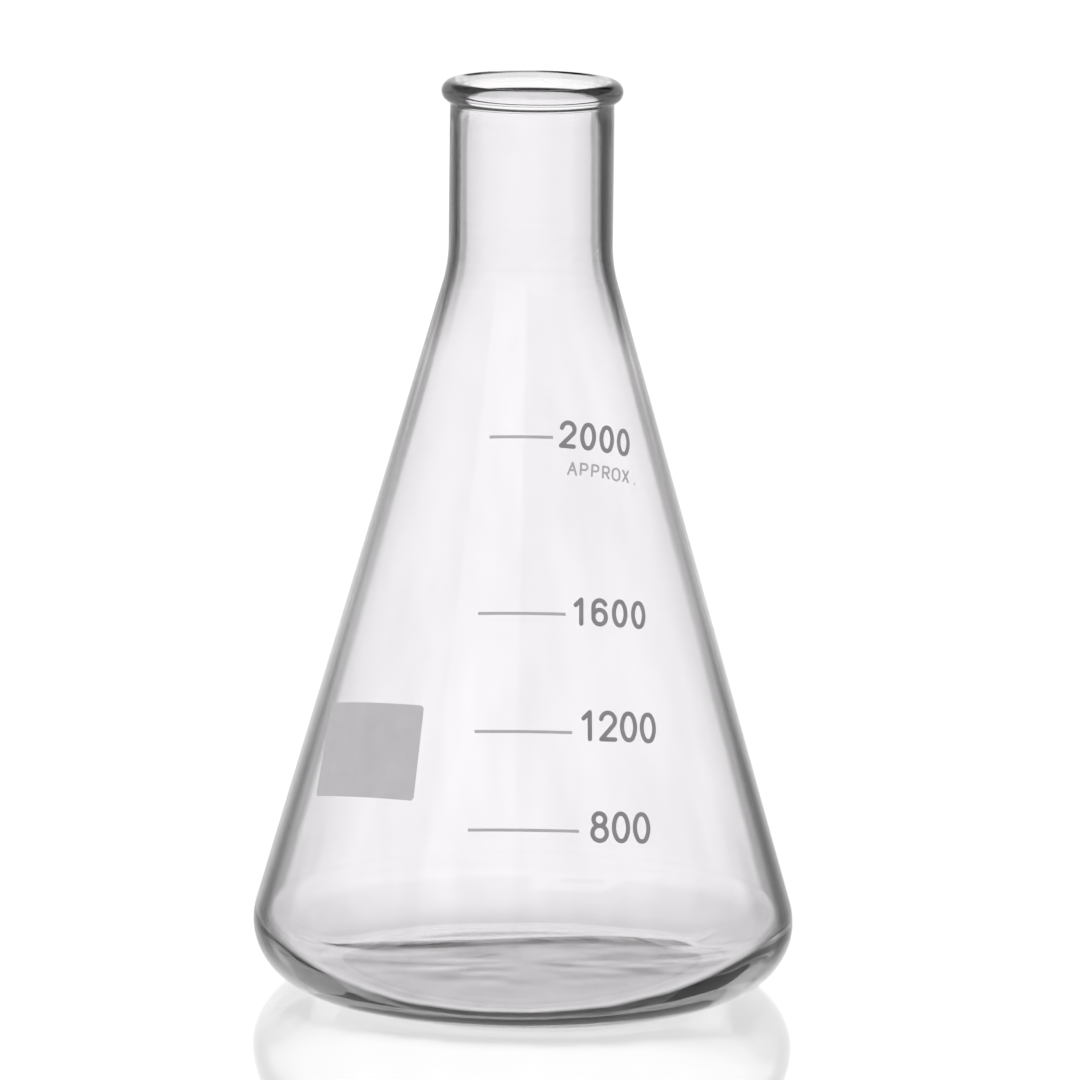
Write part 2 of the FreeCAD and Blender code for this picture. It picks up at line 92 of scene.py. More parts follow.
# %% Points of the section
def arc_points(centre, radius, start, end, steps):
    """Points along an arc, from one angle to the other in degrees, both ends included."""
    points = []
    for step in range(steps + 1):
        angle = math.radians(start + (end - start) * step / steps)
        points.append((centre[0] + radius * math.cos(angle), centre[1] + radius * math.sin(angle)))
    return points


def run_points(start, end, steps):
    """Points between two places on a straight run, both ends left out."""
    return [
        tuple(a + (b - a) * step / steps for a, b in zip(start, end)) for step in range(1, steps)
    ]


quarter = arc_points((0, 0), 1, 0, 90, 2)
print("a quarter arc in two steps:", [(round(x, 2), round(z, 2)) for x, z in quarter])

# %% [markdown]
# The underside is a shallow dome, called the punt, so that the flask stands on a ring and never
# rocks. Then the section turns up through the heel, runs up the cone, bends back through the
# shoulder into the straight neck, and ends in the bead round the mouth. The bead is joined to the
# neck by a small hollow arc. Its centre is found from the two circles touching, not by eye.

# %% Outer side of the section
foot_radius = BODY_RADIUS - HEEL_RADIUS
foot_inner = foot_radius - FOOT_RING_WIDTH
dome_radius = (foot_inner**2 + PUNT_HEIGHT**2) / (2 * PUNT_HEIGHT)
dome_angle = math.degrees(math.asin(foot_inner / dome_radius))
cone_degrees = math.degrees(CONE_ANGLE)
cone_low_height = HEEL_RADIUS * (1 + SINE)
elbow = cone_low_height + (foot_radius + HEEL_RADIUS * COSINE - NECK_RADIUS) / TANGENT
shoulder_height = elbow + SHOULDER_RADIUS * math.tan(CONE_ANGLE / 2)
bead_centre = (RIM_RADIUS - BEAD_RADIUS, HEIGHT - BEAD_RADIUS)
root_reach = NECK_RADIUS + BEAD_ROOT_RADIUS - bead_centre[0]
root_drop = math.sqrt((BEAD_RADIUS + BEAD_ROOT_RADIUS) ** 2 - root_reach**2)
root_angle = math.degrees(math.atan2(root_drop, -root_reach))

NEARLY_UP = 89.7  # the dome starts just beside its middle, where the first ring closes
DOME_STEPS, HEEL_STEPS, CONE_STEPS, SHOULDER_STEPS = 12, 28, 24, 12
NECK_STEPS, ROOT_STEPS, BEAD_STEPS = 6, 6, 20
dome_centre = (0, PUNT_HEIGHT - dome_radius)
dome = arc_points(dome_centre, dome_radius, NEARLY_UP, 90 - dome_angle, DOME_STEPS)
heel = arc_points((foot_radius, HEEL_RADIUS), HEEL_RADIUS, -90, cone_degrees, HEEL_STEPS)
shoulder_centre = (NECK_RADIUS + SHOULDER_RADIUS, shoulder_height)
shoulder = arc_points(shoulder_centre, SHOULDER_RADIUS, 180 + cone_degrees, 180, SHOULDER_STEPS)
root_centre = (NECK_RADIUS + BEAD_ROOT_RADIUS, bead_centre[1] - root_drop)
root = arc_points(root_centre, BEAD_ROOT_RADIUS, 180, root_angle, ROOT_STEPS)
bead = arc_points(bead_centre, BEAD_RADIUS, root_angle - 180, 90, BEAD_STEPS)
outer_side = dome + heel + run_points(heel[-1], shoulder[0], CONE_STEPS) + shoulder
outer_side += run_points(shoulder[-1], root[0], NECK_STEPS) + root + bead[1:]
print(f"outer side: {len(outer_side)} points, cone meets the neck line at {elbow:.1f} mm")

# %% [markdown]
# The inner side follows the outer one at the thickness of the wall: thin on the cone, thicker in
# the neck and thickest at the heel, where the glass sinks while it is still soft. The floor is a
# low dome too, and its arc touches the arc of the inner heel. Equating the two distances from the
# floor's centre gives its radius.

# %% Inner side of the section
elbow_inner = elbow + NECK_WALL / TANGENT - CONE_WALL / SINE
inner_shoulder_height = elbow_inner + SHOULDER_INNER_RADIUS * math.tan(CONE_ANGLE / 2)
heel_inner_height = FOOT_THICKNESS + HEEL_INNER_RADIUS
cone_inner_reach = BORE_RADIUS + (elbow_inner - heel_inner_height) * TANGENT
heel_inner_axis = cone_inner_reach - HEEL_INNER_RADIUS / COSINE
floor_rise = FLOOR_HEIGHT - heel_inner_height
floor_chord = heel_inner_axis**2 + floor_rise**2 - HEEL_INNER_RADIUS**2
floor_radius = floor_chord / (2 * (HEEL_INNER_RADIUS + floor_rise))
floor_centre = FLOOR_HEIGHT - floor_radius
floor_angle = math.degrees(math.atan2(heel_inner_height - floor_centre, heel_inner_axis))

LIP_STEPS, BORE_STEPS, FLOOR_STEPS = 10, 12, 16
lip_radius = bead_centre[0] - BORE_RADIUS
lip = arc_points((bead_centre[0], HEIGHT - lip_radius), lip_radius, 90, 180, LIP_STEPS)
inner_centre = (BORE_RADIUS + SHOULDER_INNER_RADIUS, inner_shoulder_height)
inner_shoulder = arc_points(
    inner_centre, SHOULDER_INNER_RADIUS, 180, 180 + cone_degrees, SHOULDER_STEPS
)
heel_inner_centre = (heel_inner_axis, heel_inner_height)
inner_heel = arc_points(
    heel_inner_centre, HEEL_INNER_RADIUS, cone_degrees, floor_angle - 180, HEEL_STEPS
)
floor = arc_points((0, floor_centre), floor_radius, floor_angle, 90, FLOOR_STEPS)
inner_side = lip[1:] + run_points(lip[-1], inner_shoulder[0], BORE_STEPS) + inner_shoulder
inner_side += run_points(inner_shoulder[-1], inner_heel[0], CONE_STEPS) + inner_heel + floor[1:-1]
print(f"inner side: {len(inner_side)} points, inner floor is {floor[0][1]:.1f} mm up at its edge")

# %% [markdown]
# The bore of a blown neck is never quite in the middle. Here it leans a little to one side towards
# the mouth, which makes one wall thicker than the other, and the dark lines in the two walls
# differ. Each inner point gets a third number, the sideways place of its ring. An easing function
# keeps the lean free of kinks, since glass shows every one of them.

# %% Lean of the bore
LEAN = -0.6
LEAN_FROM, LEAN_FULL = 180, 262  # heights
LEAN_FADES, LEAN_GONE = 268, 276


def ease(value, low, high):
    """Zero below one limit, one above the other and smooth between them."""
    share = min(1, max(0, (value - low) / (high - low)))
    return share * share * (3 - 2 * share)


def lean(height):
    """How far the bore stands aside at a height: most near the mouth, nothing at the lip itself."""
    grows, fades = ease(height, LEAN_FROM, LEAN_FULL), ease(height, LEAN_FADES, LEAN_GONE)
    return LEAN * grows * (1 - fades)


inner_side = [(radius, height, lean(height)) for radius, height in inner_side]
aside = lean(LEAN_FULL)
print(f"walls at the top of the neck: {NECK_WALL + aside:.2f} and {NECK_WALL - aside:.2f} mm")

# %% [markdown]
# A lathe shape can be made with a Screw modifier, with Spin, or by drawing one ring up through the
# section: extrude, slide, scale. We draw the ring, because each ring can then stand off the axis. A
# new primitive comes selected, and so do the pieces of the design, so we clear the selection first.
# The first ring is filled, and the last one is merged to its middle, so the shell is closed at both
# ends.

# %% Draw a ring through the section
SEGMENTS = 240
WELD_DISTANCE = 0.00001


def start_fresh():
    """Leaves edit mode and deselects everything."""
    if bpy.context.object and bpy.context.object.mode != "OBJECT":
        bpy.ops.object.mode_set(mode="OBJECT")
    bpy.ops.object.select_all(action="DESELECT")


def draw_section(name, points):
    """Extrudes a ring through points of radius, height and, if given, sideways place."""
    start_fresh()
    radius, height = points[0]
    bpy.ops.mesh.primitive_circle_add(
        vertices=SEGMENTS, radius=radius * MM, fill_type="TRIFAN", location=(0, 0, height * MM)
    )
    piece = bpy.context.object
    piece.name = piece.data.name = name
    bpy.ops.object.transform_apply(location=True, rotation=True, scale=True)
    bpy.ops.object.mode_set(mode="EDIT")
    bpy.ops.mesh.select_mode(type="EDGE")
    bpy.ops.mesh.select_all(action="SELECT")
    bpy.ops.mesh.region_to_loop()
    place = Vector((0, 0, height))
    for next_radius, next_height, *aside in points[1:]:
        target = Vector((aside[0] if aside else 0, 0, next_height))
        bpy.ops.mesh.extrude_edges_move(TRANSFORM_OT_translate={"value": (target - place) * MM})
        grow = next_radius / radius
        bpy.ops.transform.resize(value=(grow, grow, 1), center_override=target * MM)
        radius, place = next_radius, target
    bpy.ops.mesh.merge(type="CENTER")
    bpy.ops.mesh.select_all(action="SELECT")
    bpy.ops.mesh.remove_doubles(threshold=WELD_DISTANCE * MM)
    bpy.ops.mesh.normals_make_consistent(inside=False)
    bpy.ops.object.mode_set(mode="OBJECT")
    bpy.ops.object.shade_smooth()
    return piece


vessel = draw_section("flask_glass", outer_side + inner_side)
print("vessel:", len(vessel.data.polygons), "faces")

# %% [markdown]
# Now the unevenness that a mould or a paddle leaves inside. The outer side keeps its true shape,
# and only the inner side changes. A Displace modifier moves a vertex group by its weights, either
# evenly or with a soft noise, and is then applied, so that the vessel stays one plain mesh. The
# vertex groups are written as functions of place, so they follow the section if its sizes change.

# %% Ways to push the surface
def group_where(piece, name, inside, weight):
    """A vertex group of the places in mm that lie inside, each with its weight."""
    group = piece.vertex_groups.new(name=name)
    for vertex in piece.data.vertices:
        place = vertex.co / MM
        if inside(*place):
            group.add([vertex.index], weight(*place), "REPLACE")


def push(piece, group, depth, direction, noise=None):
    """Moves a vertex group by its weights, in mm: both ways with a noise, else only one way."""
    change = piece.modifiers.new(group, "DISPLACE")
    change.direction = direction
    change.vertex_group = group
    change.strength = depth * MM
    change.mid_level = 0.5 if noise else 0.0
    if noise:
        change.texture = noise
        change.texture_coords = "LOCAL"
    bpy.ops.object.modifier_apply(modifier=change.name)


def soft_noise(name, size, depth):
    """A cloudy noise with lumps of a size in mm."""
    noise = bpy.data.textures.new(name, "CLOUDS")
    noise.noise_scale = size * MM
    noise.noise_depth = depth
    return noise


print("modifiers left on the vessel:", len(vessel.modifiers))

# %% [markdown]
# The floor comes first. It sags towards the front and back and stands a little higher at the sides,
# most on one side, as the glass does when a flask is set down hot. A low fold runs across it behind
# the middle, where the two gathers of melt met, and small ripples lie over that. The limits below
# pick the floor and the inner heel, and leave out the underside, which is a few millimetres away.

# %% Uneven floor
UNDERSIDE_BELOW, HEEL_BELOW = 3.0, 30.0
INNER_HEEL_REACH = 18.4  # from the middle of the heel's arc
SADDLE, SADDLE_SPAN, SADDLE_TILT, SADDLE_FULL = 3.5, 66.0, 0.25, 1.6
SADDLE_FADES, FOLD_FADES, FOLD_GONE, RIPPLE_GONE = 8.0, 7.0, 13.0, 16.0  # heights
FOLD_HEIGHT, FOLD_WIDTH, FOLD_BACK, FOLD_SLANT = 0.8, 5.0, 33.0, 0.12
FOLD_WAVE, FOLD_WAVE_LENGTH = 2.0, 13.0
RIPPLE_SIZE, RIPPLE_DEPTH = 18.0, 0.35


def on_floor(x, y, z):
    """True on the inner floor and the inner side of the heel."""
    reach = math.hypot(x, y)
    if reach <= foot_radius:
        return UNDERSIDE_BELOW < z < HEEL_BELOW
    return z < HEEL_BELOW and math.hypot(reach - foot_radius, z - HEEL_RADIUS) < INNER_HEEL_REACH


def saddle(x, y, z):
    """Higher at both sides, more at one of them, and fading out up the heel."""
    side = (x / SADDLE_SPAN) ** 2 + SADDLE_TILT * (1 + x / SADDLE_SPAN)
    return side / SADDLE_FULL * (1 - ease(z, SADDLE_FADES, HEEL_BELOW))


def fold(x, y, z):
    """A soft ridge along a slightly wavy line across the floor."""
    middle = FOLD_BACK + FOLD_SLANT * x + FOLD_WAVE * math.sin(x / FOLD_WAVE_LENGTH)
    return math.exp(-(((y - middle) / FOLD_WIDTH) ** 2)) * (1 - ease(z, FOLD_FADES, FOLD_GONE))


def ripples(x, y, z):
    """Full on the floor, fading out up the heel."""
    return 1 - ease(z, SADDLE_FADES, RIPPLE_GONE)


group_where(vessel, "saddle", on_floor, saddle)
push(vessel, "saddle", SADDLE, "Z")
group_where(vessel, "fold", on_floor, fold)
push(vessel, "fold", FOLD_HEIGHT, "Z")
group_where(vessel, "ripples", on_floor, ripples)
push(vessel, "ripples", RIPPLE_DEPTH, "Z", soft_noise("floor_ripple", RIPPLE_SIZE, 1))
floor_heights = [v.co.z / MM for v in vessel.data.vertices if on_floor(*(v.co / MM))]
print(f"inner floor and heel: {min(floor_heights):.1f} to {max(floor_heights):.1f} mm up")

# %% [markdown]
# The lip is melted in a flame and turned over to make the bead. The inner side of that fold is
# wavy, and it breaks up the dark rings that the bead would otherwise show.

# %% Uneven lip
LIP_FROM, LIP_FULL = 262, 268  # heights
LIP_FADES, LIP_REACH = 23.0, 24.4  # distances from the axis
WAVE_SIZE, WAVE_DEPTH = 14.0, 0.6


def on_lip(x, y, z):
    return z > LIP_FROM and math.hypot(x, y) < LIP_REACH


def lip_weight(x, y, z):
    """Grows above the neck and fades before the top of the bead."""
    return ease(z, LIP_FROM, LIP_FULL) * (1 - ease(math.hypot(x, y), LIP_FADES, LIP_REACH))


group_where(vessel, "lip", on_lip, lip_weight)
push(vessel, "lip", WAVE_DEPTH, "NORMAL", soft_noise("lip_wave", WAVE_SIZE, 0))
vessel.vertex_groups.clear()
print("vessel measures", [round(value / MM, 2) for value in vessel.dimensions], "mm")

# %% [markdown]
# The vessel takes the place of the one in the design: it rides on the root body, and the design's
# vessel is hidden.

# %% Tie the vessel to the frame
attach(vessel, "root")
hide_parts("glass_flask")
print(vessel.name, "replaces glass_flask")

# %% [markdown]
# The finishes are made with nodes. These helpers add one node each and give back its output, so a
# material reads like a short sum. Every value may be a number or the output of another node.

# %% Helpers for nodes
def feed(tree, socket, value):
    """Sets a socket to a number or colour, or links an output to it."""
    if isinstance(value, (int, float, tuple)):
        socket.default_value = value
    else:
        tree.links.new(value, socket)


def calc(tree, operation, first, second):
    """A sum of two values."""
    node = tree.nodes.new("ShaderNodeMath")
    node.operation = operation
    feed(tree, node.inputs[0], first)
    feed(tree, node.inputs[1], second)
    return node.outputs[0]


def span(tree, value, low, high, start, end, smooth=False):
    """Maps a range of values to another range and holds the ends."""
    node = tree.nodes.new("ShaderNodeMapRange")
    node.interpolation_type = "SMOOTHSTEP" if smooth else "LINEAR"
    sockets = ("Value", "From Min", "From Max", "To Min", "To Max")
    for name, part in zip(sockets, (value, low, high, start, end)):
        feed(tree, node.inputs[name], part)
    return node.outputs["Result"]


def steps(tree, value, stops):
    """A grey ramp through (place, brightness) stops."""
    node = tree.nodes.new("ShaderNodeValToRGB")
    elements = node.color_ramp.elements
    while len(elements) < len(stops):
        elements.new(0.5)
    for element, (place, grey) in zip(elements, stops):
        element.position = place
        element.color = (grey, grey, grey, 1)
    feed(tree, node.inputs["Fac"], value)
    return node.outputs["Color"]


def choose(tree, factor, first, second):
    """The first value where the factor is zero, the second where it is one."""
    node = tree.nodes.new("ShaderNodeMix")
    node.data_type = "FLOAT"
    for socket, part in zip(node.inputs[:1] + node.inputs[2:4], (factor, first, second)):
        feed(tree, socket, part)
    return node.outputs[0]


def noise_value(tree, place, scale, detail):
    """A noise between zero and one."""
    node = tree.nodes.new("ShaderNodeTexNoise")
    node.inputs["Scale"].default_value = scale
    node.inputs["Detail"].default_value = detail
    feed(tree, node.inputs["Vector"], place)
    return node.outputs["Fac"]


def new_material(name):
    material = bpy.data.materials.new(name)
    material.use_nodes = True
    return material, material.node_tree, material.node_tree.nodes["Principled BSDF"]


print("helpers ready")

# %% [markdown]
# Blown glass keeps faint upright streaks from the gathering of the melt, called cords. They run
# with the axis, so a noise is squeezed along Z until its lumps become streaks. The group gives a
# factor a little below one that later darkens the light on its way out of the glass.

# %% Cords in the glass
CORD_SCALE, CORD_DETAIL, CORD_SQUEEZE = 70, 2, 0.03
CORD_STRENGTH = 0.08
NOISE_LOW, NOISE_HIGH = 0.35, 0.65  # a noise seldom leaves these limits


def cords_group():
    tree = bpy.data.node_groups.new("glass_cords", "ShaderNodeTree")
    strength = tree.interface.new_socket("Strength", in_out="INPUT", socket_type="NodeSocketFloat")
    strength.default_value = CORD_STRENGTH
    tree.interface.new_socket("Factor", in_out="OUTPUT", socket_type="NodeSocketFloat")
    inputs = tree.nodes.new("NodeGroupInput")
    outputs = tree.nodes.new("NodeGroupOutput")
    place = tree.nodes.new("ShaderNodeTexCoord")
    squeeze = tree.nodes.new("ShaderNodeMapping")
    squeeze.inputs["Scale"].default_value = (1, 1, CORD_SQUEEZE)
    tree.links.new(place.outputs["Object"], squeeze.inputs["Vector"])
    streak = noise_value(tree, squeeze.outputs["Vector"], CORD_SCALE, CORD_DETAIL)
    share = span(tree, streak, NOISE_LOW, NOISE_HIGH, 0, 1)
    loss = calc(tree, "MULTIPLY", share, inputs.outputs["Strength"])
    feed(tree, outputs.inputs["Factor"], calc(tree, "SUBTRACT", 1, loss))
    return tree


cords = cords_group()
print("group:", cords.name)

# %% [markdown]
# Glass looks black where it mirrors something dark, and that happens at its edges. Light that
# crosses the wall squarely comes through untouched. Light that grazes a wall, or is caught between
# its two sides, comes from far to the side, where a studio is dark. A plain white room has no such
# dark sides, so that darkness is painted into the glass itself as painted shade, by the angle at
# which light meets the surface. Angles are read from a Facing value, which is zero when the surface
# is seen square on and one when it is grazed.
#
# How much painted shade there is differs from place to place up the flask. The soft painted shade
# is strongest in the neck, where the wall is thick for its width, and faint on the thin cone. The
# painted dark outline is strongest along the cone and round the heel. Each row below is a ramp of
# (place, loss).

# %% Painted shade by place and angle
LEVEL = 1 / (HEIGHT * MM)
PAINTED_TRAPPED_BY_LEVEL = [
    (0.0, 0.05), (0.15, 0.045), (0.45, 0.02), (0.7, 0.0), (0.77, 0.03), (0.957, 0.03), (0.97, 0.08)
]
PAINTED_SHADE_BY_LEVEL = [
    (0.03, 0.0), (0.06, 0.2), (0.12, 0.2), (0.2, 0.05),
    (0.7, 0.05), (0.8, 0.7), (0.96, 0.7), (0.97, 0.18)
]
PAINTED_SHADE_BY_FACING = [
    (0.0, 0.02), (0.2, 0.05), (0.33, 0.13), (0.47, 0.2),
    (0.52, 0.62), (0.58, 0.62), (0.66, 0.4), (1.0, 0.45)
]
PAINTED_OUTLINE_BY_LEVEL = [
    (0.03, 0.0), (0.06, 0.9), (0.24, 0.9), (0.43, 0.55),
    (0.64, 0.9), (0.8, 0.4), (0.96, 0.4), (0.97, 0.25)
]
PAINTED_OUTLINE_BY_FACING = [(0.65, 0.0), (0.705, 0.47), (0.77, 0.47), (0.86, 0.25), (1.0, 0.25)]
BEAD_LEVELS, BEAD_LEAVING = (0.957, 0.97), 0.035
PAINTED_LEAVING_BY_FACING = [(0.238, 1.0), (0.266, 0.02)]
PAINTED_TRAPPED_BY_FACING = [(0.2, 0.004), (0.235, 0.3)]
print(len(PAINTED_SHADE_BY_LEVEL), "levels of shade up the flask")

# %% [markdown]
# The material is a Principled shader with full transmission and the refractive index of
# borosilicate glass. Its base colour tints light on its way out of the glass and carries painted
# shade: darker near the edges and for light caught between the walls. A share of a black diffuse
# shader, painted shade too, takes light away on its way in, which also dims what the outer side
# mirrors.
# Shadows and soft light should pass, so rays of those kinds see plain transparency. A thin black
# absorption stands for the path through the glass.

# %% Clear glass
GLASS_INDEX = 1.473
FAINT_VIOLET = (1.0, 0.987, 1.0)
ABSORPTION = 3.0
ACROSS_LEFT, ACROSS_RIGHT = 0.6, 1.4  # one side of the flask catches more light than the other


def painted_edge_shade(tree, facing, level):
    """Painted shade on light on its way in: soft near the edges and darkest at the very edge."""
    painted_shade_level = steps(tree, level, PAINTED_SHADE_BY_LEVEL)
    shade = calc(tree, "MULTIPLY", painted_shade_level, steps(tree, facing, PAINTED_SHADE_BY_FACING))
    painted_outline_level = steps(tree, level, PAINTED_OUTLINE_BY_LEVEL)
    painted_outline = calc(tree, "MULTIPLY", painted_outline_level, steps(tree, facing, PAINTED_OUTLINE_BY_FACING))
    return calc(tree, "ADD", shade, painted_outline)


def painted_shade_on_exit(tree, facing, level, across, caught):
    """Painted shade on light on its way out, for light that came through directly or was caught."""
    bead_shift = span(tree, level, *BEAD_LEVELS, 0, BEAD_LEAVING)
    straight = steps(tree, calc(tree, "ADD", facing, bead_shift), PAINTED_LEAVING_BY_FACING)
    shift = calc(tree, "MULTIPLY", steps(tree, level, PAINTED_TRAPPED_BY_LEVEL), across)
    trapped = steps(tree, calc(tree, "SUBTRACT", facing, shift), PAINTED_TRAPPED_BY_FACING)
    streaks = tree.nodes.new("ShaderNodeGroup")
    streaks.node_tree = cords
    kept_under_painted_shade = choose(tree, caught, straight, trapped)
    return calc(tree, "MULTIPLY", kept_under_painted_shade, streaks.outputs["Factor"])


material, tree, shader = new_material("clear_borosilicate")
shader.inputs["Roughness"].default_value = 0.0
shader.inputs["IOR"].default_value = GLASS_INDEX
shader.inputs["Transmission Weight"].default_value = 1.0
angle = tree.nodes.new("ShaderNodeLayerWeight")
angle.inputs["Blend"].default_value = 0.5
facing = angle.outputs["Facing"]
path = tree.nodes.new("ShaderNodeLightPath")
backfacing = tree.nodes.new("ShaderNodeNewGeometry").outputs["Backfacing"]
place = tree.nodes.new("ShaderNodeSeparateXYZ")
feed(tree, place.inputs[0], tree.nodes.new("ShaderNodeTexCoord").outputs["Object"])
level = calc(tree, "MULTIPLY", place.outputs["Z"], LEVEL)
reach = BODY_RADIUS * MM
across = span(tree, place.outputs["X"], -reach, reach, ACROSS_LEFT, ACROSS_RIGHT)
kept_under_painted_shade = painted_shade_on_exit(tree, facing, level, across, path.outputs["Is Reflection Ray"])
# painted shade: the base colour darkens light leaving the glass near its edges
tint = tree.nodes.new("ShaderNodeVectorMath")
tint.operation = "SCALE"
tint.inputs[0].default_value = FAINT_VIOLET
feed(tree, tint.inputs["Scale"], choose(tree, backfacing, 1.0, kept_under_painted_shade))
feed(tree, shader.inputs["Base Color"], tint.outputs[0])
print("glass index", GLASS_INDEX)

# %% [markdown]
# The shaders are joined: first the black share, painted shade on light on its way in, then the
# plain transparency.

# %% Join the shaders of the glass
def mix_shaders(tree, factor, first, second):
    node = tree.nodes.new("ShaderNodeMixShader")
    for socket, part in zip(node.inputs, (factor, first, second)):
        feed(tree, socket, part)
    return node.outputs[0]


# painted shade: a black diffuse share darkens the glass near its edges
painted_shade_black = tree.nodes.new("ShaderNodeBsdfDiffuse")
painted_shade_black.inputs["Color"].default_value = (0, 0, 0, 1)
clear = tree.nodes.new("ShaderNodeBsdfTransparent")
going_in = calc(tree, "SUBTRACT", 1, backfacing)
loss = calc(tree, "MULTIPLY", painted_edge_shade(tree, facing, level), going_in)
painted_edges = mix_shaders(tree, loss, shader.outputs[0], painted_shade_black.outputs[0])
soft_rays = calc(tree, "MAXIMUM", path.outputs["Is Shadow Ray"], path.outputs["Is Diffuse Ray"])
output = tree.nodes["Material Output"]
feed(tree, output.inputs["Surface"], mix_shaders(tree, soft_rays, painted_edges, clear.outputs[0]))
body = tree.nodes.new("ShaderNodeVolumeAbsorption")
body.inputs["Color"].default_value = (0, 0, 0, 1)
body.inputs["Density"].default_value = ABSORPTION
feed(tree, output.inputs["Volume"], body.outputs[0])
vessel.data.materials.clear()
vessel.data.materials.append(material)
print(material.name, "on", vessel.name)

# %% [markdown]
# The marks are ceramic enamel, screen-printed on the glass and fired. The ink carries a fine grain,
# and its coat is thicker in some places than in others. One group gives all three enamels that
# mottling: a factor for the colour, a roughness and a height for the bump.

# %% Mottling of fired enamel
COAT_SCALE, COAT_DETAIL, COAT_SHARE = 140, 3, 0.65
GRAIN_SCALE, GRAIN_DETAIL, GRAIN_SHARE = 2600, 2, 0.35
ROUGHNESS_SWING = 0.06


def mottling_group():
    tree = bpy.data.node_groups.new("enamel_mottling", "ShaderNodeTree")
    for name, default in (("Depth", 0.1), ("Roughness", 0.5)):
        socket = tree.interface.new_socket(name, in_out="INPUT", socket_type="NodeSocketFloat")
        socket.default_value = default
    for name in ("Factor", "Roughness", "Height"):
        tree.interface.new_socket(name, in_out="OUTPUT", socket_type="NodeSocketFloat")
    inputs = tree.nodes.new("NodeGroupInput")
    outputs = tree.nodes.new("NodeGroupOutput")
    place = tree.nodes.new("ShaderNodeTexCoord").outputs["Object"]
    coat = noise_value(tree, place, COAT_SCALE, COAT_DETAIL)
    grain = noise_value(tree, place, GRAIN_SCALE, GRAIN_DETAIL)
    coat_share = calc(tree, "MULTIPLY", coat, COAT_SHARE)
    both = calc(tree, "ADD", coat_share, calc(tree, "MULTIPLY", grain, GRAIN_SHARE))
    centred = span(tree, both, NOISE_LOW, NOISE_HIGH, -1, 1)
    swing = calc(tree, "MULTIPLY", centred, inputs.outputs["Depth"])
    feed(tree, outputs.inputs["Factor"], calc(tree, "ADD", 1, swing))
    uneven = calc(tree, "MULTIPLY", centred, ROUGHNESS_SWING)
    rough = calc(tree, "ADD", inputs.outputs["Roughness"], uneven)
    feed(tree, outputs.inputs["Roughness"], rough)
    feed(tree, outputs.inputs["Height"], grain)
    return tree


mottling = mottling_group()
print("group:", mottling.name)

# %% [markdown]
# The numerals are printed with the full coat and look darkest. The lines and the small letters are
# fine, so their coat is thinner and the white behind comes through. The marking panel is an open,
# matt field that a pencil can write on, and it shows the mottling most.

# %% Enamels
ENAMELS = {
    "enamel_numerals": ((0.235, 0.228, 0.235), 0.07, 0.45),
    "enamel_lines": ((0.42, 0.41, 0.42), 0.06, 0.45),
    "enamel_panel": ((0.51, 0.495, 0.51), 0.05, 0.6),
}
BUMP_DISTANCE, BUMP_STRENGTH = 0.00002, 0.4


def enamel(name, colour, depth, roughness):
    material, tree, shader = new_material(f"fired_{name}")
    mottle = tree.nodes.new("ShaderNodeGroup")
    mottle.node_tree = mottling
    mottle.inputs["Depth"].default_value = depth
    mottle.inputs["Roughness"].default_value = roughness
    shade = tree.nodes.new("ShaderNodeVectorMath")
    shade.operation = "SCALE"
    shade.inputs[0].default_value = colour
    feed(tree, shade.inputs["Scale"], mottle.outputs["Factor"])
    feed(tree, shader.inputs["Base Color"], shade.outputs[0])
    feed(tree, shader.inputs["Roughness"], mottle.outputs["Roughness"])
    bump = tree.nodes.new("ShaderNodeBump")
    bump.inputs["Strength"].default_value = BUMP_STRENGTH
    bump.inputs["Distance"].default_value = BUMP_DISTANCE
    feed(tree, bump.inputs["Height"], mottle.outputs["Height"])
    feed(tree, shader.inputs["Normal"], bump.outputs["Normal"])
    return material


enamels = {name: enamel(name, *finish) for name, finish in ENAMELS.items()}
for part in frame["record"]["subparts"]:
    if part["material_slot"] in enamels:
        mark = frame["nodes"][part["node"]]
        mark.data.materials.clear()
        mark.data.materials.append(enamels[part["material_slot"]])
        print(part["node"], "gets", part["material_slot"])

# %% [markdown]
# The flask stands on a glossy white table, which mirrors its foot. The table is wide enough to be
# the whole background. It is part of the stage and not of the flask.

# %% Table
TABLE_WIDTH = 30
TABLE_WHITE = (0.93, 0.93, 0.93, 1)
TABLE_ROUGHNESS, TABLE_INDEX = 0.05, 1.65
start_fresh()
bpy.ops.mesh.primitive_plane_add(size=TABLE_WIDTH, location=(0, 0, 0))
table = bpy.context.object
table.name = "table_top"
bpy.ops.object.transform_apply(location=True, rotation=True, scale=True)
material, tree, shader = new_material("white_table")
shader.inputs["Base Color"].default_value = TABLE_WHITE
shader.inputs["Roughness"].default_value = TABLE_ROUGHNESS
shader.inputs["IOR"].default_value = TABLE_INDEX
table.data.materials.append(material)
print("table", TABLE_WIDTH, "m wide")

# %% [markdown]
# The room is white all round, with one large soft light high at the front left. The glass mirrors
# it as a pale upright band. Overhead the room is darker for mirrored and bent light, since a studio
# ceiling is, and that gives the bead and the heel their dark lines. The table and the camera still
# see an even white.

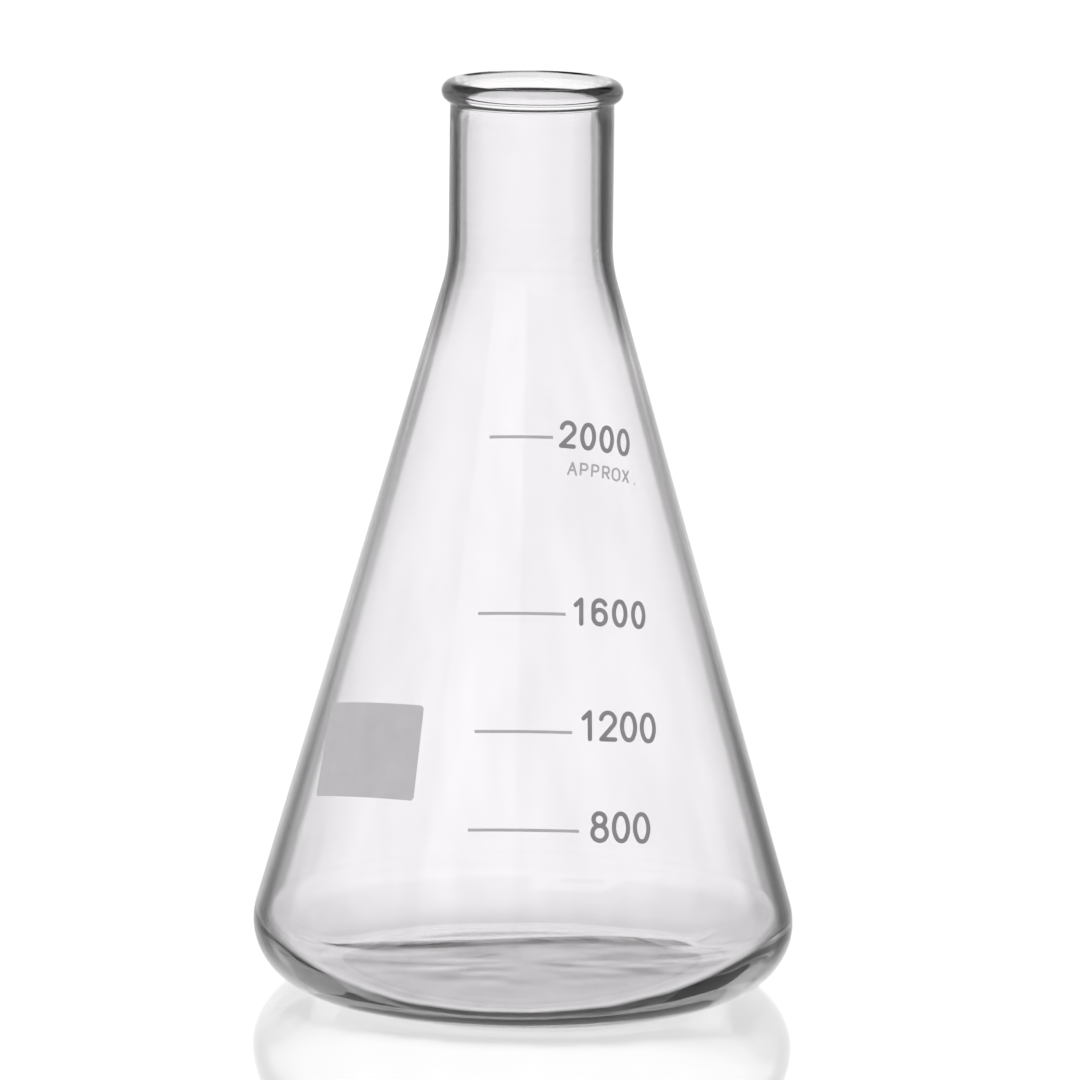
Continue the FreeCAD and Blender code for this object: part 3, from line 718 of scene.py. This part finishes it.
# %% Room
WHITE, CEILING = 1.1, 0.05
DARK_IN_GLASS, DARK_OUTSIDE = (0.22, 0.40), (0.30, 0.50)  # heights where it darkens
SOFT_LIGHT = 1.6
LIGHT_SIDES, LIGHT_HEIGHTS = (-1.1, -0.08, 0.04), (0.2, 0.75, 0.05)  # two limits and a soft edge
scene = bpy.context.scene
world = bpy.data.worlds.new("white_room")
scene.world = world
world.use_nodes = True
tree = world.node_tree
direction = tree.nodes.new("ShaderNodeSeparateXYZ")
feed(tree, direction.inputs[0], tree.nodes.new("ShaderNodeTexCoord").outputs["Generated"])
side, depth, height = direction.outputs
path = tree.nodes.new("ShaderNodeLightPath")
in_glass = calc(tree, "GREATER_THAN", path.outputs["Transmission Depth"], 0.5)
plain = calc(tree, "MAXIMUM", path.outputs["Is Camera Ray"], path.outputs["Is Diffuse Ray"])


def darker_above(low, high):
    """White near the horizon, falling to the ceiling's brightness between two heights."""
    return span(tree, height, low, high, WHITE, CEILING, smooth=True)


def between(value, low, high, soft):
    """One between two limits, with soft edges."""
    rise = span(tree, value, low - soft, low + soft, 0, 1, smooth=True)
    fall = span(tree, value, high - soft, high + soft, 1, 0, smooth=True)
    return calc(tree, "MULTIPLY", rise, fall)


room = choose(tree, in_glass, darker_above(*DARK_OUTSIDE), darker_above(*DARK_IN_GLASS))
turned = calc(tree, "DIVIDE", side, calc(tree, "MULTIPLY", depth, -1))
in_front = calc(tree, "LESS_THAN", depth, 0)
light = calc(tree, "MULTIPLY", between(turned, *LIGHT_SIDES), between(height, *LIGHT_HEIGHTS))
room = choose(tree, calc(tree, "MULTIPLY", light, in_front), room, SOFT_LIGHT)
feed(tree, tree.nodes["Background"].inputs["Strength"], choose(tree, plain, room, WHITE))
tree.nodes["Background"].inputs["Color"].default_value = (1, 1, 1, 1)
print("world:", world.name)

# %% [markdown]
# Light crosses up to eight surfaces on its way through both walls and the floor, and more where it
# is caught in the bead, so the glass needs many bounces. The Standard view keeps white white.

# %% Light paths and view
scene.view_settings.view_transform = "Standard"
scene.view_settings.look = "None"
GLASS_BOUNCES, MIRROR_BOUNCES = 24, 8
scene.cycles.max_bounces = GLASS_BOUNCES
scene.cycles.transmission_bounces = GLASS_BOUNCES
scene.cycles.glossy_bounces = MIRROR_BOUNCES
scene.cycles.transparent_max_bounces = GLASS_BOUNCES
scene.cycles.use_denoising = True
print("bounces:", scene.cycles.max_bounces)

# %% [markdown]
# The camera stands three metres away with a long lens, a little above the bead, so the mouth shows
# as a thin ellipse and the sides stay nearly parallel. It is turned by less than a degree, as a
# camera in the hand is.

# %% Camera
ELEVATION = math.radians(9.9)
ROLL = math.radians(0.663)
DISTANCE = 3.0
AIM = Vector((0.00386, 0, 0.1384))
SENSOR = 36
CLIP_NEAR, CLIP_FAR = 0.1, 100
VIEW_HEIGHT = 0.33048  # metres seen at the flask
camera_data = bpy.data.cameras.new("camera")
camera = bpy.data.objects.new("camera", camera_data)
scene.collection.objects.link(camera)
scene.camera = camera
camera_data.sensor_width = SENSOR
camera_data.lens = SENSOR * DISTANCE / VIEW_HEIGHT
camera_data.clip_start = CLIP_NEAR
camera_data.clip_end = CLIP_FAR
back = Vector((0, -math.cos(ELEVATION), math.sin(ELEVATION)))
right = Vector((1, 0, 0))
up = back.cross(right)
rolled_right = math.cos(ROLL) * right + math.sin(ROLL) * up
rolled_up = math.cos(ROLL) * up - math.sin(ROLL) * right
turn = Matrix((rolled_right, rolled_up, back)).transposed().to_4x4()
camera.matrix_world = Matrix.Translation(AIM + back * DISTANCE) @ turn
print(f"lens {camera_data.lens:.0f} mm")
